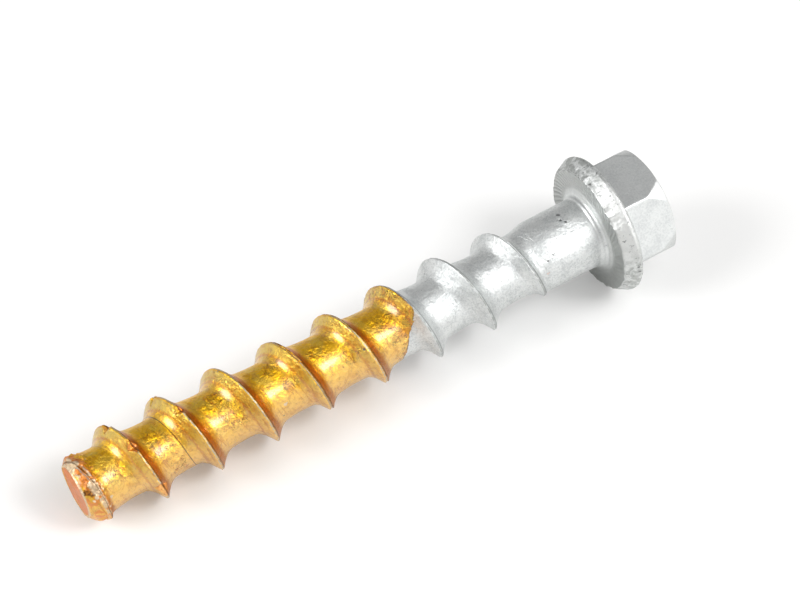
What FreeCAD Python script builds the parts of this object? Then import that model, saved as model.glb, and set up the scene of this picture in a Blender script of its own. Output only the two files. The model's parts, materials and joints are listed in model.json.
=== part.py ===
# Concrete screw for a 12 mm hole: one steel bar, cold headed to a flanged hexagon and
# rolled to a coarse right-hand thread, lying on a floor as it comes to rest.
# It is modelled upright, tip at z = 0 and head on top, then laid down. Millimetres.
import FreeCAD, Part
import math
import os

V = FreeCAD.Vector

# Thread
thread_diameter = 14.6          # over the crests
root_diameter = 9.7             # at the bottom of the groove
thread_pitch = 9.76
crest_land = 0.56               # width of the rolled crest
flank_angle = 53.0              # flank against the axis, degrees
root_fillet = 2.4
lead_in_length = 8.5            # the crest rises over this length at the tip
lead_in_diameter = 10.6         # crest diameter where the bar was sheared
thread_turn = 214.3             # where the crest meets the tip end, degrees from the floor side

# Notches pressed across the crest of the first turns
notch_count = 10
notch_step = 69.5               # degrees along the thread
notch_depth = 1.1
notch_angle = 112.0             # between the walls, degrees
last_notch_at = 18.9            # from the tip end

# Shank
shank_diameter = 11.6
length_under_head = 92.0        # tip end to bearing face
crest_fade_start = 74.0         # from the tip end: the crest starts to sink
crest_fade_length = 8.7         # over this length it reaches the shank
root_ramp_start = 77.8          # from the tip end: the groove floor starts to rise
root_ramp_length = 4.9
end_bevel = 0.6                 # edge of the sheared tip end
head_fillet = 1.6               # between shank and bearing face

# Flange
flange_diameter = 23.2
bearing_diameter = 20.4         # outer edge of the flat bearing face
flange_widest_at = 2.3          # above the bearing face
rim_rounding = 0.7
flange_height = 3.7             # bearing face to where the cone reaches the hexagon

# Hexagon
hexagon_across_flats = 17.0
head_height = 11.0              # bearing face to top
corner_taper_length = 3.7       # corners are drawn in over this length below the top
corner_taper = 0.85             # by this much on the radius
top_bevel_height = 0.4
top_bevel_width = 0.7
hexagon_turn = 33.0             # first corner, degrees from the floor side

# Values worked out from the sizes above
thread_radius = thread_diameter / 2
root_radius = root_diameter / 2
shank_radius = shank_diameter / 2
flange_radius = flange_diameter / 2
corner_radius = hexagon_across_flats / math.sqrt(3)
total_length = length_under_head + head_height
flank_slope = math.tan(math.radians(flank_angle))
crest_fade_slope = (thread_radius - shank_radius) / crest_fade_length


def on_plane(radius, height):
    """A point of a profile, in the plane through the axis."""
    return V(radius, 0, height)


def line(start, end):
    return Part.LineSegment(start, end).toShape()


def arc(start, middle, end):
    return Part.Arc(start, middle, end).toShape()


def outline(points):
    """Straight edges through the points, closed."""
    return Part.makePolygon(points + [points[0]])


def turned(edges):
    """The solid that a closed profile sweeps in one turn about the axis."""
    face = Part.Face(Part.Wire(edges))
    return face.revolve(V(0, 0, 0), V(0, 0, 1), 360)


def ridge_profile():
    """Section of the thread ridge: land, straight flanks and a fillet that dips under the root."""
    spare = 0.25 * crest_land * flank_slope
    dip = 0.04 * root_fillet
    floor = root_radius - dip
    corner = crest_land / 2 + (thread_radius - floor) / flank_slope
    half = math.radians(flank_angle) / 2
    room = 0.48 * thread_pitch - corner
    fillet = min(root_fillet, room / math.tan(half))
    foot = corner + fillet * math.tan(half)
    inside = 0.8 * root_radius
    land = crest_land / 2 - spare / flank_slope
    centre = V(floor + fillet, 0, foot)
    flank_end = centre - V(fillet * math.cos(2 * half), 0, fillet * math.sin(2 * half))
    bend = centre - V(fillet * math.cos(half), 0, fillet * math.sin(half))
    upper = [on_plane(thread_radius + spare, land), flank_end, bend, on_plane(floor, foot)]
    lower = [on_plane(point.x, -point.z) for point in upper]
    edges = [
        line(lower[0], upper[0]),
        line(upper[0], upper[1]),
        arc(upper[1], upper[2], upper[3]),
        line(upper[3], on_plane(inside, foot)),
        line(on_plane(inside, foot), on_plane(inside, -foot)),
        line(on_plane(inside, -foot), lower[3]),
        arc(lower[3], lower[2], lower[1]),
        line(lower[1], lower[0]),
    ]
    return Part.Wire(edges)


def ridge():
    """The whole ridge, from below the tip end to inside the shank."""
    below = 0.6 * thread_pitch
    above = crest_fade_start + crest_fade_length + 0.5 * thread_pitch
    helix = Part.makeLongHelix(thread_pitch, above + below, thread_radius, 0)
    swept = Part.Wire(helix.Edges).makePipeShell([ridge_profile()], True, True)
    swept.translate(V(0, 0, -below))
    swept.rotate(V(0, 0, 0), V(0, 0, 1), thread_turn - 360 * below / thread_pitch)
    return swept


def crest_envelope():
    """What the crest may reach: rising at the tip, sinking into the shank at the head."""
    fade_end = crest_fade_start + 1.25 * crest_fade_length
    sunk = thread_radius - 1.25 * crest_fade_length * crest_fade_slope
    return turned(outline([
        on_plane(0, 0),
        on_plane(lead_in_diameter / 2, 0),
        on_plane(thread_radius, lead_in_length),
        on_plane(thread_radius, crest_fade_start),
        on_plane(sunk, fade_end),
        on_plane(0, fade_end),
    ]).Edges)


def core():
    """Bar from the sheared end to the bearing face, with the fillet under the head."""
    fillet_start = length_under_head - head_fillet
    fillet_centre = on_plane(shank_radius + head_fillet, fillet_start)
    bend = fillet_centre + V(-head_fillet, 0, head_fillet) * math.sqrt(0.5)
    seat = length_under_head + flange_widest_at
    points = [
        on_plane(0, seat),
        on_plane(0, 0),
        on_plane(root_radius - end_bevel, 0),
        on_plane(root_radius, end_bevel),
        on_plane(root_radius, root_ramp_start),
        on_plane(shank_radius, root_ramp_start + root_ramp_length),
        on_plane(shank_radius, fillet_start),
    ]
    fillet_end = on_plane(shank_radius + head_fillet, length_under_head)
    edges = [line(a, b) for a, b in zip(points, points[1:])]
    edges.append(arc(points[-1], bend, fillet_end))
    edges.append(line(fillet_end, on_plane(fillet_end.x, seat)))
    edges.append(line(on_plane(fillet_end.x, seat), points[0]))
    return turned(edges)


def notch(number):
    """Wedge that presses one notch across the crest, counted back from the last."""
    bottom = thread_radius - notch_depth
    top = thread_radius + notch_depth
    half_width = (top - bottom) * math.tan(math.radians(notch_angle / 2))
    half_length = 0.25 * thread_pitch
    height = last_notch_at - number * notch_step / 360 * thread_pitch
    start = V(0, 0, height - half_length)
    section = outline([
        V(bottom, 0, 0) + start,
        V(top, half_width, 0) + start,
        V(top, -half_width, 0) + start,
    ])
    wedge = Part.Face(section).extrude(V(0, 0, 2 * half_length))
    wedge.rotate(V(0, 0, 0), V(0, 0, 1), thread_turn + 360 * height / thread_pitch)
    return wedge


def tangent_point(point, centre, radius, side):
    """Where a line from the point touches the circle; side is 1 or -1."""
    way = centre - point
    reach = math.sqrt(way.Length ** 2 - radius ** 2)
    turn = math.atan2(way.z, way.x) + side * math.asin(radius / way.Length)
    return point + V(math.cos(turn), 0, math.sin(turn)) * reach


def flange():
    """Flat bearing face, bevelled and rounded rim, conical top."""
    bearing_edge = on_plane(bearing_diameter / 2, length_under_head)
    nose = on_plane(flange_radius - rim_rounding, length_under_head + flange_widest_at)
    cone_end = on_plane(hexagon_across_flats / 2 - rim_rounding, length_under_head + flange_height)
    below = tangent_point(bearing_edge, nose, rim_rounding, -1)
    above = tangent_point(cone_end, nose, rim_rounding, 1)
    axis_low = on_plane(0, length_under_head)
    axis_high = on_plane(0, length_under_head + flange_height)
    return turned([
        line(axis_low, bearing_edge),
        line(bearing_edge, below),
        arc(below, nose + V(rim_rounding, 0, 0), above),
        line(above, cone_end),
        line(cone_end, axis_high),
        line(axis_high, axis_low),
    ])


def hexagon():
    """Hexagon with corners drawn in towards a bevelled top."""
    low = length_under_head + flange_widest_at
    corners = []
    for number in range(6):
        angle = math.radians(hexagon_turn + 60 * number)
        corners.append(V(corner_radius * math.cos(angle), corner_radius * math.sin(angle), low))
    prism = Part.Face(outline(corners)).extrude(V(0, 0, total_length - low))
    clear = corner_radius + 1
    taper_start = total_length - corner_taper_length
    steepness = corner_taper / (corner_taper_length - top_bevel_height)
    taper_end = on_plane(corner_radius - corner_taper, total_length - top_bevel_height)
    form = turned(outline([
        on_plane(0, low - 1),
        on_plane(clear, low - 1),
        on_plane(clear, taper_start - 1 / steepness),
        taper_end,
        on_plane(taper_end.x - top_bevel_width, total_length),
        on_plane(0, total_length),
    ]).Edges)
    return prism.common(form)


def upright_screw():
    thread = ridge().common(crest_envelope())
    for number in range(notch_count):
        thread = thread.cut(notch(number))
    head = flange().fuse(hexagon())
    body = core().fuse(head).removeSplitter()
    return body.fuse(thread).Solids[0]


def laid(screw):
    """The screw on the floor, on its flange rim and on the first full crest above the lead-in.

    The floor line is the tangent from that crest to the rounded rim."""
    first = thread_pitch * (1 - thread_turn / 360)
    turns = math.ceil((lead_in_length - first) / thread_pitch)
    crest = on_plane(thread_radius, first + turns * thread_pitch - crest_land / 2)
    nose = on_plane(flange_radius - rim_rounding, length_under_head + flange_widest_at)
    floor_line = tangent_point(crest, nose, rim_rounding, -1) - crest
    slope = math.atan2(floor_line.x, floor_line.z)
    screw.rotate(V(0, 0, 0), V(0, 1, 0), 90 - math.degrees(slope))
    across = [point.x for point in screw.tessellate(0.05)[0]]
    floor = crest.z * math.sin(slope) - crest.x * math.cos(slope)
    screw.translate(V(-(min(across) + max(across)) / 2, 0, -floor))
    return screw


os.makedirs("parts", exist_ok=True)
screw = laid(upright_screw())
screw.exportStep("parts/concrete_screw.step")
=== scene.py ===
import json
import math

import bmesh
import bpy
from mathutils import Matrix, Vector, noise


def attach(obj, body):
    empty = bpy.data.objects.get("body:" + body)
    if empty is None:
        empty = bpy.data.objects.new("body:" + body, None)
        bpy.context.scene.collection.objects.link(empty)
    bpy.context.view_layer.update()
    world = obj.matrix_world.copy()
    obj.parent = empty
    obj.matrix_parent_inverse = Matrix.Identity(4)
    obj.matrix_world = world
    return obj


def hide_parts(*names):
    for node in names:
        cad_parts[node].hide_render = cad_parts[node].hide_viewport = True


bl_info = {
    "name": "Concrete screw",
    "version": (1, 0, 0),
    "blender": (4, 5, 0),
    "location": "3D View > Sidebar > Concrete screw",
    "description": "Flanged concrete screw, zinc coated, with gold lacquer towards its tip",
    "category": "Object",
}

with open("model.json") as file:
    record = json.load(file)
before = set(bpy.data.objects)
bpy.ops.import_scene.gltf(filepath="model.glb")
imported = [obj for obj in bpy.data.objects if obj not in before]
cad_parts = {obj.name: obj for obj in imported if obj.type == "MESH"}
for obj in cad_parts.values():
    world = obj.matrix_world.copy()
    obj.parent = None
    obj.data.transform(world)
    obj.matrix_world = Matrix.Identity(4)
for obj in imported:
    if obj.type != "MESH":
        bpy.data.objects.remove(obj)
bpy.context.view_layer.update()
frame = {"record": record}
mounts = {mount["name"]: mount for mount in frame["record"]["mounts"]}

MM = 0.001
FULL_TURN = 2 * math.pi
SIXTH = FULL_TURN / 6

# The screw is shaped upright, tip at height 0, and laid along the axis that the mounts give.
# Angles about the axis are counted from the side that faces the floor.
tip_place = Vector(mounts["concrete_thread"]["pos_m"])
axis = Vector(mounts["hexagon_drive"]["axis"])
across = Vector((0, 1, 0))
floor_side = across.cross(axis)
laid = Matrix.Translation(tip_place) @ Matrix((floor_side, across, axis)).transposed().to_4x4()

# Mesh: columns around the axis, rows in one pitch and how much they crowd at the crest, rows that
# close the tip and the top as shares of the radius, and how near points are welded.
COLUMNS = 216
COLUMN_STEP = FULL_TURN / COLUMNS
ROWS_A_PITCH = 36
CROWDING = 0.68
TIP_ROWS = (0.975, 0.94, 0.88, 0.79, 0.68, 0.56, 0.43, 0.3, 0.18, 0.08)
TOP_ROWS = (0.03, 0.1, 0.2, 0.34, 0.5, 0.66, 0.82, 0.94)
TURN_WELD = 0.01 * MM
LAST_WELD = 0.004 * MM
SHARP_ANGLE = math.radians(38)

# Marks left on the coats: angle in degrees, height and size in millimetres.
DARK_MARKS = (
    (168, 87.1, 0.55), (180, 86.8, 0.35), (187, 87.3, 0.4), (224, 83.0, 0.4), (217, 81.0, 0.25),
    (230, 81.6, 0.22), (246, 72.1, 0.3), (221, 48.45, 0.32), (270, 33.6, 0.3), (151, 27.4, 0.35),
    (143, 27.3, 0.25), (128, 8.0, 0.5), (66, 44.0, 0.4), (20, 70.5, 0.5), (95, 85.0, 0.4),
    (340, 61.0, 0.35),
)
BROWN_MARKS = (
    (225, 0.9, 1.1), (232, 1.7, 0.8), (186, 1.1, 1.0), (165, 1.6, 0.9), (206, 1.2, 0.6),
    (40, 1.4, 1.0), (100, 1.1, 1.1), (330, 1.6, 0.8),
)
BARE_MARKS = (
    (248, 34.3, 0.42), (224, 43.2, 0.22), (230, 43.7, 0.2), (165, 3.2, 0.2), (172, 12.9, 0.2),
    (240, 1.7, 0.45), (244, 1.2, 0.35), (213, 2.2, 0.6), (221, 2.5, 0.55), (252, 3.9, 0.4),
    (262, 3.3, 0.4), (45, 31.0, 0.3), (85, 22.0, 0.35),
)
SCALY_MARKS = (
    (212, 5.5, 2.4), (214, 14.2, 2.8), (190, 13.2, 1.8), (182, 24.3, 2.4), (212, 25.4, 2.4),
    (240, 26.4, 2.0), (176, 34.6, 2.0), (216, 36.2, 1.8), (186, 41.8, 1.8), (222, 46.6, 1.8),
    (200, 54.0, 2.6), (236, 55.6, 2.4), (262, 15.5, 2.0), (40, 24.0, 3.0), (75, 12.0, 2.6),
    (5, 35.0, 2.6), (100, 45.0, 2.4), (60, 52.0, 2.4), (330, 28.0, 2.0),
)
RUST_MARKS = ((250, 81.2, 0.3),)
MARKS = {
    "dark": DARK_MARKS, "brown": BROWN_MARKS, "bare": BARE_MARKS, "scaly": SCALY_MARKS,
    "rust": RUST_MARKS,
}

# Notches pressed across the first crests: height of the crest there in millimetres, share of the
# full depth, and degrees between a wall and the notch's middle plane.
NOTCHES = (
    (18.63, 0.85, 48), (17.21, 1.0, 30), (15.4, 1.0, 56), (13.4, 1.0, 56), (11.25, 1.1, 58),
    (9.29, 1.0, 50), (7.94, 1.0, 46), (5.9, 0.9, 56), (4.0, 0.7, 56), (2.1, 0.5, 56),
)

# Where the lacquer ends: angle in degrees and height in millimetres.
LACQUER_END = (
    (0, 54.6), (60, 54.9), (110, 55.7), (150, 56.9), (180, 57.7), (203, 58.2), (214, 57.8),
    (226, 57.2), (240, 56.5), (258, 55.9), (280, 55.3), (302, 55.0), (360, 54.6),
)

# Crests that the steel didn't fill: height, spread along the screw, and how much lower or broader
# the crest is there, in millimetres.
LOW_CRESTS = ((41.2, 5, 0.68), (50.9, 3.3, 0.46))
BROAD_CRESTS = ((40.5, 4, 0.45), (50.5, 3, 0.35))

# Heights in millimetres between which the crest's two lips part, stay apart and close again, and
# between which they part once more where the thread runs out.
OPEN_LIPS = (36.5, 38.5, 42.5, 44)
RUN_OUT_LIPS = (72, 75)
LIP_GAP_DEPTH = 0.32 * MM
LIP_GAP_PLACE = 0.05 * MM           # beside the crest's middle
LIP_GAP_HALF_WIDTH = 0.19 * MM

# A fine line that the rolling left on the tip side of the crest.
ROLLED_LINE_DEPTH = 0.05 * MM
ROLLED_LINE_PLACE = -1.32 * MM
ROLLED_LINE_WIDTH = 0.13 * MM

# The tip: where the sheared end stands highest, how far it is dished, and the stout foot that
# fills the groove on one side, by its side in degrees, radius at the end and growth with height.
LEAN_SIDE = math.radians(34)
END_DISH = 0.14
FOOT_SIDE = 285
FOOT_RADIUS = 5.2 * MM
FOOT_GROWTH = 0.25
CHIPS_SHIFT = Vector((3, 1, 5))     # so that the chips don't follow the other waves

# Rings in the fillet under the head: share of the way up, spread and height in millimetres.
FILLET_RINGS = ((0.28, 0.09, 0.13), (0.72, 0.1, 0.14))
TEETH = 60
TOOTH_SLANT = 0.08                  # radians to a millimetre outward

# The stage: lamps by name, direction from the screw, distance and width in metres, and radiance.
LAMPS = (
    ("left_softbox", (-0.76, 0.18, 0.56), 1.2, 1.1, 0.45),
    ("front_softbox", (0.4, -0.46, 0.76), 1.2, 1.24, 1.2),
    ("left_core", (-0.785, 0.16, 0.58), 1.18, 0.66, 6.8),
    ("front_core", (0.43, -0.51, 0.72), 1.18, 0.48, 9.0),
    ("front_fill", (0.4, -0.9, 0.12), 1.8, 1.6, 0.95),
)
SURROUND_LIGHT = 0.37
FLOOR_HALF_WIDTH = 1.5
PAPER = (0.8, 0.797, 0.79, 1)
PAPER_GLOW = 0.16                   # lifts the paper to white for the camera alone
WHITE = (1, 1, 1, 1)
CAMERA_FROM_TIP = Vector((-120.727, -292.454, 422.124)) * MM
CAMERA_LOOK = Vector((0.33165, 0.54529, -0.76985))
FOCAL_LENGTH = 157.5


def shade(red, green, blue):
    """A colour given as the eye sees it on a screen, as linear light."""
    parts = [part / 255 for part in (red, green, blue)]
    return [part / 12.92 if part <= 0.04045 else ((part + 0.055) / 1.055) ** 2.4 for part in parts]


class ThreadSizes(bpy.types.PropertyGroup):
    """Sizes of the threaded bar"""

    crest_radius: bpy.props.FloatProperty(
        name="Crest radius", description="Axis to the crest of the full thread",
        default=7.29 * MM, unit="LENGTH", precision=5)
    root_radius: bpy.props.FloatProperty(
        name="Root radius", description="Axis to the lowest line of the groove",
        default=4.8 * MM, unit="LENGTH", precision=5)
    pitch: bpy.props.FloatProperty(
        name="Pitch", description="Rise of the thread in one turn",
        default=9.76 * MM, unit="LENGTH", precision=5)
    land: bpy.props.FloatProperty(
        name="Crest land", description="Width of the rolled crest",
        default=0.3 * MM, unit="LENGTH", precision=5)
    flank: bpy.props.FloatProperty(
        name="Flank angle", description="Flank of the ridge against the axis",
        default=math.radians(53), unit="ROTATION")
    root_blend: bpy.props.FloatProperty(
        name="Root blend", description="How softly the flanks run into the groove",
        default=1.3 * MM, unit="LENGTH", precision=5)
    groove_rise: bpy.props.FloatProperty(
        name="Groove rise",
        description="How far the groove floor rises half a pitch from its lowest line",
        default=0.5 * MM, unit="LENGTH", precision=5)
    groove_lowest: bpy.props.FloatProperty(
        name="Lowest line",
        description="From the crest, on its head side, to the lowest line of the groove",
        default=6.0 * MM, unit="LENGTH", precision=5)
    turn: bpy.props.FloatProperty(
        name="Thread turn",
        description="Angle from the floor side where the crest would meet the tip end",
        default=math.radians(214.3), unit="ROTATION")
    lead_in_radius: bpy.props.FloatProperty(
        name="Lead-in radius", description="Crest radius where the bar was sheared",
        default=5.3 * MM, unit="LENGTH", precision=5)
    lead_in_rise: bpy.props.FloatProperty(
        name="Lead-in rise",
        description="How fast the crest rises from the tip, as a slope", default=0.245)
    lead_in_drift: bpy.props.FloatProperty(
        name="Lead-in drift",
        description="How far the first crest lies nearer the head than its pitch says",
        default=1.0 * MM, unit="LENGTH", precision=5)
    lead_in_end: bpy.props.FloatProperty(
        name="Lead-in end", description="Height where that drift has died out",
        default=15 * MM, unit="LENGTH", precision=5)
    end_radius: bpy.props.FloatProperty(
        name="End radius", description="Radius of the sheared tip end inside its worn edge",
        default=4.35 * MM, unit="LENGTH", precision=5)
    end_lean: bpy.props.FloatProperty(
        name="End lean", description="How far the sheared end leans from one side to the other",
        default=0.36 * MM, unit="LENGTH", precision=5)
    fade_start: bpy.props.FloatProperty(
        name="Fade start", description="Height where the crest begins to sink into the shank",
        default=74 * MM, unit="LENGTH", precision=5)
    fade_slope: bpy.props.FloatProperty(
        name="Fade slope", description="How fast the crest sinks there", default=0.172)
    ramp_start: bpy.props.FloatProperty(
        name="Ramp start", description="Height where the groove floor begins to rise to the shank",
        default=77.4 * MM, unit="LENGTH", precision=5)
    ramp_end: bpy.props.FloatProperty(
        name="Ramp end", description="Height where it has reached the shank",
        default=83.2 * MM, unit="LENGTH", precision=5)
    shank_radius: bpy.props.FloatProperty(
        name="Shank radius", description="Axis to the plain shank",
        default=5.8 * MM, unit="LENGTH", precision=5)


class NotchSizes(bpy.types.PropertyGroup):
    """Sizes of the notches pressed across the first crests"""

    depth: bpy.props.FloatProperty(
        name="Notch depth", description="How deep a full notch is pressed",
        default=1.1 * MM, unit="LENGTH", precision=5)
    burr: bpy.props.FloatProperty(
        name="Burr", description="Height of the lip that the press raised beside a notch",
        default=0.14 * MM, unit="LENGTH", precision=5)
    lumps: bpy.props.FloatProperty(
        name="Lumps", description="Unevenness of the pressed walls",
        default=0.16 * MM, unit="LENGTH", precision=5)


class HeadSizes(bpy.types.PropertyGroup):
    """Sizes of the flange and the hexagon"""

    bearing: bpy.props.FloatProperty(
        name="Bearing height", description="Tip end to the bearing face",
        default=92 * MM, unit="LENGTH", precision=5)
    fillet: bpy.props.FloatProperty(
        name="Fillet", description="Radius between shank and bearing face",
        default=1.6 * MM, unit="LENGTH", precision=5)
    bearing_radius: bpy.props.FloatProperty(
        name="Bearing radius", description="Axis to the outer edge of the flat bearing face",
        default=10.2 * MM, unit="LENGTH", precision=5)
    flange_radius: bpy.props.FloatProperty(
        name="Flange radius", description="Axis to the widest line of the rim",
        default=11.55 * MM, unit="LENGTH", precision=5)
    widest: bpy.props.FloatProperty(
        name="Widest height", description="Bearing face to the widest line of the rim",
        default=2.3 * MM, unit="LENGTH", precision=5)
    rim_radius: bpy.props.FloatProperty(
        name="Rim rounding", description="Rounding of the rim",
        default=0.7 * MM, unit="LENGTH", precision=5)
    flange_height: bpy.props.FloatProperty(
        name="Flange height",
        description="Bearing face to where the cone would reach its inner end",
        default=3.7 * MM, unit="LENGTH", precision=5)
    half_flats: bpy.props.FloatProperty(
        name="Half across flats", description="Axis to a flat of the hexagon",
        default=8.47 * MM, unit="LENGTH", precision=5)
    hexagon_turn: bpy.props.FloatProperty(
        name="Hexagon turn", description="Angle of a corner from the floor side",
        default=math.radians(33.0), unit="ROTATION")
    top: bpy.props.FloatProperty(
        name="Head height", description="Bearing face to the top",
        default=10.98 * MM, unit="LENGTH", precision=5)
    taper_length: bpy.props.FloatProperty(
        name="Corner taper length",
        description="The corners are drawn in over this length below the top",
        default=3.7 * MM, unit="LENGTH", precision=5)
    taper: bpy.props.FloatProperty(
        name="Corner taper", description="By this much on the radius",
        default=0.85 * MM, unit="LENGTH", precision=5)
    top_bevel: bpy.props.FloatProperty(
        name="Top bevel", description="Height of the bevel round the top",
        default=0.4 * MM, unit="LENGTH", precision=5)
    bevel_width: bpy.props.FloatProperty(
        name="Bevel width", description="Width of that bevel",
        default=0.7 * MM, unit="LENGTH", precision=5)


class CoatColours(bpy.types.PropertyGroup):
    """Colours of the zinc, the lacquer and the worn steel"""

    zinc_light: bpy.props.FloatVectorProperty(
        name="Light zinc", description="Bright fields of the zinc coat",
        default=shade(235, 237, 236), subtype="COLOR", min=0, max=1)
    zinc_dark: bpy.props.FloatVectorProperty(
        name="Dark zinc", description="Dull fields of the zinc coat",
        default=shade(203, 206, 206), subtype="COLOR", min=0, max=1)
    gold: bpy.props.FloatVectorProperty(
        name="Gold", description="Lacquer of even thickness",
        default=shade(250, 194, 30), subtype="COLOR", min=0, max=1)
    olive: bpy.props.FloatVectorProperty(
        name="Olive", description="Thin lacquer, greenish",
        default=shade(230, 194, 78), subtype="COLOR", min=0, max=1)
    # Brown-orange: stains, streaks and the sheared end's tint on the lacquer, and also the painted
    # shade behind the crests and along the rolled line.
    amber_and_shade: bpy.props.FloatVectorProperty(
        name="Amber", description="Thick lacquer that ran together behind the crests",
        default=shade(194, 108, 8), subtype="COLOR", min=0, max=1)
    # Painted reflection: the warm tint of the floor, painted on the side that faces it.
    peach_reflection: bpy.props.FloatVectorProperty(
        name="Peach", description="Lacquer on the side that faces the floor",
        default=shade(252, 202, 104), subtype="COLOR", min=0, max=1)
    orange: bpy.props.FloatVectorProperty(
        name="Orange", description="Pressed and sheared places under the lacquer",
        default=shade(234, 152, 74), subtype="COLOR", min=0, max=1)
    bare: bpy.props.FloatVectorProperty(
        name="Bare steel", description="Places where the lacquer flaked off",
        default=shade(234, 210, 176), subtype="COLOR", min=0, max=1)
    worn_crest: bpy.props.FloatVectorProperty(
        name="Worn crest", description="Crests worn through the lacquer",
        default=shade(192, 184, 170), subtype="COLOR", min=0, max=1)
    salmon: bpy.props.FloatVectorProperty(
        name="Sheared end", description="Thin lacquer on the sheared tip end",
        default=shade(240, 138, 66), subtype="COLOR", min=0, max=1)
    polished: bpy.props.FloatVectorProperty(
        name="Rubbed zinc", description="Rim of the flange, rubbed bright",
        default=shade(230, 231, 229), subtype="COLOR", min=0, max=1)
    dull: bpy.props.FloatVectorProperty(
        name="Dull zinc", description="Bearing face",
        default=shade(166, 169, 166), subtype="COLOR", min=0, max=1)
    worn_zinc: bpy.props.FloatVectorProperty(
        name="Worn zinc", description="Crests worn on the zinc half",
        default=shade(172, 174, 172), subtype="COLOR", min=0, max=1)
    shadow: bpy.props.FloatVectorProperty(
        name="Shaded zinc", description="Dull line along the head side of the zinc crests",
        default=shade(146, 149, 148), subtype="COLOR", min=0, max=1)
    # Dark brown: dirt in cracks, at the lacquer's edge, in the seam and in the brown marks, and
    # also the painted shade just behind the crests on the lacquer.
    grime_and_shade: bpy.props.FloatVectorProperty(
        name="Grime", description="Dirt in cracks and pits",
        default=shade(92, 54, 12), subtype="COLOR", min=0, max=1)
    soot: bpy.props.FloatVectorProperty(
        name="Dark pits", description="Dark pits in the zinc coat",
        default=shade(92, 94, 94), subtype="COLOR", min=0, max=1)


def ramp(value, start, end):
    """0 before start, 1 after end, and smooth between."""
    share = min(max((value - start) / (end - start), 0.0), 1.0)
    return share * share * (3 - 2 * share)


def smooth_min(first, second, blend):
    gap = max(blend - abs(first - second), 0.0) / blend
    return min(first, second) - gap * gap * blend / 4


def smooth_max(first, second, blend):
    return -smooth_min(-first, -second, blend)


def bell(value, centre, width):
    """1 at the centre, falling softly to 0."""
    return math.exp(-((value - centre) / width) ** 2)


def swell(places, along):
    """Sum of the soft bumps that stand at heights on the screw."""
    return sum(size * bell(along, height * MM, spread * MM) for height, spread, size in places) * MM


def grain(spot, *waves):
    """Unevenness at a place: the sum of waves, each by its fineness and its height."""
    return sum(height * noise.noise(spot * fineness) for fineness, height in waves)


def turned_by(angle, centre):
    """Degrees from the centre angle, from -180 to 180."""
    return (math.degrees(angle) - centre + 180) % 360 - 180


def seam_strength(along):
    """How clearly the two lips of the rolled crest stay apart there."""
    start, full, end, gone = (height * MM for height in OPEN_LIPS)
    open_lips = ramp(along, start, full) * (1 - ramp(along, end, gone))
    run_out = ramp(along, *(height * MM for height in RUN_OUT_LIPS))
    wander = 0.2 + 0.5 * noise.noise(Vector((along / (3 * MM), 4.1, 7.7)))
    return min(max(wander + open_lips + 0.5 * run_out, 0.0), 1.0)


def end_plane(angle, radius, size):
    """Height of the sheared end, which leans a little."""
    share = 0.5 + 0.5 * math.cos(angle - LEAN_SIDE) * radius / size.end_radius
    return size.end_lean * share


class Notch:
    """The notch nearest to a place on the crest, pressed in with its lips raised."""

    def __init__(self, along, crest, size, sizes):
        middle, share, half_angle = min(NOTCHES, key=lambda notch: abs(notch[0] * MM - along))
        depth = sizes.depth * share
        self.spread = math.tan(math.radians(half_angle))
        self.arc = abs(along - middle * MM) / size.pitch * FULL_TURN * crest
        self.floor = crest - depth + self.arc / self.spread
        self.half_width = depth * self.spread
        self.sizes = sizes

    def lip(self, beside):
        beside_wall = bell(self.arc, self.half_width * 0.95, 0.3 * MM)
        return self.sizes.burr * beside_wall * bell(beside, 0, 0.5 * MM)

    def pressed(self, radius, spot):
        """The radius with the notch cut in, and how surely the place lies inside it."""
        lumpy = self.floor + self.sizes.lumps * noise.noise(spot * 1.7)
        cut = smooth_min(radius, lumpy, 0.12 * MM)
        return cut, min((radius - cut) / (0.25 * MM), 1.0)


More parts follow.
